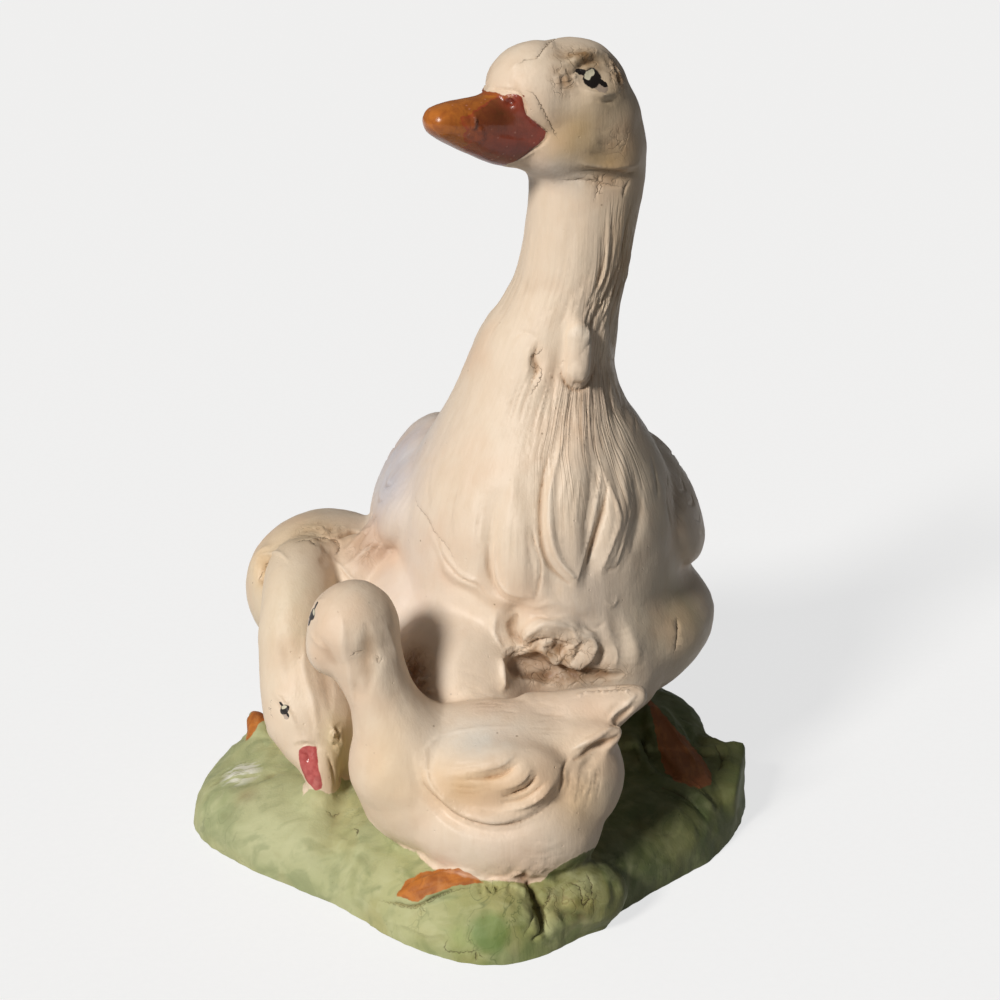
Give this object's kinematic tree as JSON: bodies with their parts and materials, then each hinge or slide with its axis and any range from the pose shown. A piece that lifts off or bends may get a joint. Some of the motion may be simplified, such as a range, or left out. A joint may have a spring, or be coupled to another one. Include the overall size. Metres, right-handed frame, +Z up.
{
  "type": "duck with ducklings figure",
  "caption": "Painted cast figure of a standing mother duck with a long neck, her ducklings at her feet on a green mound with a flat underside.",
  "frame": {"origin": "centre of the figure's bounding box, on the flat underside that it stands on", "axes": "+Z up; the mother's breast faces -Y; +X is the side of her left wing"},
  "size_m": [0.2742, 0.2558, 0.3751],
  "materials": {
    "painted_plaster": "brushed satin paint over cast plaster"
  },
  "bodies": {
    "root": {"duck_with_ducklings": "painted_plaster"}
  },
  "joints": []
}
